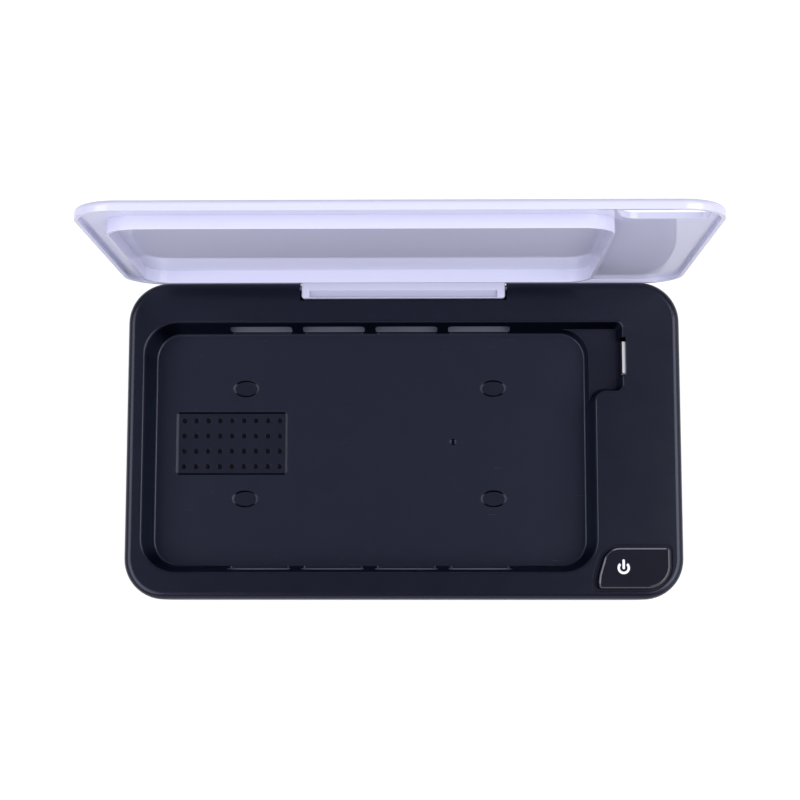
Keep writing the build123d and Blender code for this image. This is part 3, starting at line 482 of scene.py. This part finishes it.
# --- pieces ---------------------------------------------------------------------------------------

def piece_from(mesh, name, material, body):
    """Turns a bmesh into a piece that rides on a body."""
    bmesh.ops.recalc_face_normals(mesh, faces=mesh.faces)
    data = bpy.data.meshes.new(name)
    mesh.to_mesh(data)
    mesh.free()
    data.materials.append(material)
    piece = bpy.data.objects.new(name, data)
    bpy.context.scene.collection.objects.link(piece)
    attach(piece, body)
    return piece


def power_sign():
    """The sign printed on the button: an open ring and a bar."""
    ink = plastic("sign_white", (0.85, 0.86, 0.92), 0.35, shade=0.02)
    middle = Vector((button_low.x + sign_from_left, button_low.y + sign_from_front, button_high.z))
    middle.z += sign_height / 2
    quarter = radians(90)

    ring = bmesh.new()
    first = bmesh.ops.create_grid(ring, x_segments=1, y_segments=1, size=0.5)["verts"]
    bmesh.ops.scale(ring, vec=(sign_stroke, sign_height, 1.0), verts=first)
    upended = Matrix.Rotation(quarter, 3, "X")
    bmesh.ops.rotate(ring, cent=(0, 0, 0), matrix=upended, verts=first)
    bmesh.ops.translate(ring, vec=(sign_radius, 0, 0), verts=first)
    past_gap = Matrix.Rotation(quarter + sign_gap / 2, 3, "Z")
    bmesh.ops.rotate(ring, cent=(0, 0, 0), matrix=past_gap, verts=first)
    bmesh.ops.spin(ring, geom=ring.faces[:] + ring.edges[:] + ring.verts[:], cent=(0, 0, 0),
                   axis=(0, 0, 1), angle=2 * pi - sign_gap, steps=48, use_merge=False)
    bmesh.ops.translate(ring, vec=middle, verts=ring.verts)
    piece_from(ring, "power_sign_ring", ink, "button")

    bar = bmesh.new()
    bmesh.ops.create_cube(bar, size=1.0)
    bmesh.ops.scale(bar, vec=(sign_stroke, sign_bar, sign_height), verts=bar.verts)
    upright = [e for e in bar.edges if abs(e.verts[0].co.z - e.verts[1].co.z) > sign_height / 2]
    bmesh.ops.bevel(bar, geom=upright, offset=0.49 * sign_stroke, offset_type="OFFSET",
                    affect="EDGES", segments=6, profile=0.5, material=-1)
    bar_middle = middle + Vector((0, sign_bar_top - sign_bar / 2, 0))
    bmesh.ops.translate(bar, vec=bar_middle, verts=bar.verts)
    piece_from(bar, "power_sign_bar", ink, "button")


# --- floor, light and camera ----------------------------------------------------------------------

floor_size = 6.0
floor_drop = 0.05 * MM              # keeps the floor clear of the feet
camera_above_deck = 665.0 * MM
camera_right = 9.0 * MM             # of the middle of the base
camera_forward = 68.5 * MM          # in front of the middle of the base
camera_tilt = radians(7.20)
camera_turn = radians(0.885)
camera_roll = radians(0.033)
camera_lens = 76.05
sensor_width = 36.0


def white_floor():
    """A pale floor, which looks white where it is seen and keeps the box's shadow."""
    mesh = bmesh.new()
    bmesh.ops.create_grid(mesh, x_segments=1, y_segments=1, size=floor_size / 2)
    bmesh.ops.translate(mesh, vec=(0, 0, -floor_drop), verts=mesh.verts)
    data = bpy.data.meshes.new("floor")
    mesh.to_mesh(data)
    mesh.free()
    floor = bpy.data.objects.new("floor", data)
    bpy.context.scene.collection.objects.link(floor)
    material = bpy.data.materials.new("floor_paper")
    material.use_nodes = True
    tree = material.node_tree
    tree.nodes.clear()
    out = add(tree, "ShaderNodeOutputMaterial")
    path = add(tree, "ShaderNodeLightPath")
    direct = path.outputs["Is Camera Ray"]
    seen = maths(tree, "MAXIMUM", direct, path.outputs["Is Transmission Ray"])
    plain = add(tree, "ShaderNodeBsdfDiffuse")
    plain.inputs["Color"].default_value = (0.8, 0.8, 0.8, 1.0)
    shown = add(tree, "ShaderNodeBsdfDiffuse")
    shown.inputs["Color"].default_value = (0.3, 0.3, 0.3, 1.0)
    glow = add(tree, "ShaderNodeEmission")
    glow.inputs["Strength"].default_value = 0.8
    both = add(tree, "ShaderNodeAddShader")
    join(tree, shown.outputs[0], both.inputs[0])
    join(tree, glow.outputs[0], both.inputs[1])
    mix = add(tree, "ShaderNodeMixShader")
    join(tree, seen, mix.inputs[0])
    join(tree, plain.outputs[0], mix.inputs[1])
    join(tree, both.outputs[0], mix.inputs[2])
    join(tree, mix.outputs[0], out.inputs["Surface"])
    data.materials.append(material)


def world_light():
    """An even grey sky, which looks white where it is seen."""
    world = bpy.data.worlds.new("studio")
    bpy.context.scene.world = world
    world.use_nodes = True
    tree = world.node_tree
    tree.nodes.clear()
    out = add(tree, "ShaderNodeOutputWorld")
    path = add(tree, "ShaderNodeLightPath")
    sky = add(tree, "ShaderNodeBackground")
    sky.inputs["Strength"].default_value = 0.22
    white = add(tree, "ShaderNodeBackground")
    white.inputs["Strength"].default_value = 1.0
    sky.inputs["Color"].default_value = (0.85, 0.84, 1.25, 1.0)
    white.inputs["Color"].default_value = (1.0, 1.0, 1.0, 1.0)
    mix = add(tree, "ShaderNodeMixShader")
    join(tree, path.outputs["Is Camera Ray"], mix.inputs[0])
    join(tree, sky.outputs[0], mix.inputs[1])
    join(tree, white.outputs[0], mix.inputs[2])
    join(tree, mix.outputs[0], out.inputs["Surface"])


def soft_lamp(name, place, aim, size, power):
    """A rectangular lamp that shines from a place at an aim."""
    light = bpy.data.lights.new(name, "AREA")
    light.shape = "RECTANGLE"
    light.size, light.size_y = size
    light.energy = power
    lamp = bpy.data.objects.new(name, light)
    bpy.context.scene.collection.objects.link(lamp)
    lamp.location = place
    lamp.rotation_euler = (Vector(aim) - Vector(place)).to_track_quat("-Z", "Y").to_euler()
    return lamp


def studio():
    """The floor, the sky and five soft lamps: two high at the left and right, two low and one in front."""
    white_floor()
    world_light()
    soft_lamp("lamp_left", (-0.95, -0.3, 1.3), (0, 0, 0.05), (1.8, 0.9), 17)
    soft_lamp("lamp_right", (0.92, -0.1, 1.35), (0, 0, 0.05), (1.3, 0.95), 16)
    soft_lamp("lamp_side_right", (1.5, -0.4, 0.9), (-0.1, 0.1, 0.08), (2.4, 1.4), 10)
    soft_lamp("lamp_side_left", (-1.5, -0.4, 0.9), (0.1, 0.1, 0.08), (2.4, 1.4), 5)
    front = soft_lamp("lamp_front", (0.0, -1.6, 0.5), (0, 0, 0.08), (1.8, 0.7), 3.5)
    front.data.color = (0.92, 0.93, 1.0)


def camera():
    """The camera, almost straight above the base and a little in front of it."""
    data = bpy.data.cameras.new("camera")
    data.lens = camera_lens
    data.sensor_width = sensor_width
    view = bpy.data.objects.new("camera", data)
    bpy.context.scene.collection.objects.link(view)
    turned = Matrix.Rotation(camera_turn, 4, "Y") @ Matrix.Rotation(camera_tilt, 4, "X")
    turned = turned @ Matrix.Rotation(camera_roll, 4, "Z")
    place = Vector((camera_right, base_middle_y - camera_forward, deck_level + camera_above_deck))
    view.matrix_world = Matrix.Translation(place) @ turned
    bpy.context.scene.camera = view


bpy.context.scene.view_settings.view_transform = "Standard"
finish_nodes()
power_sign()
studio()
camera()
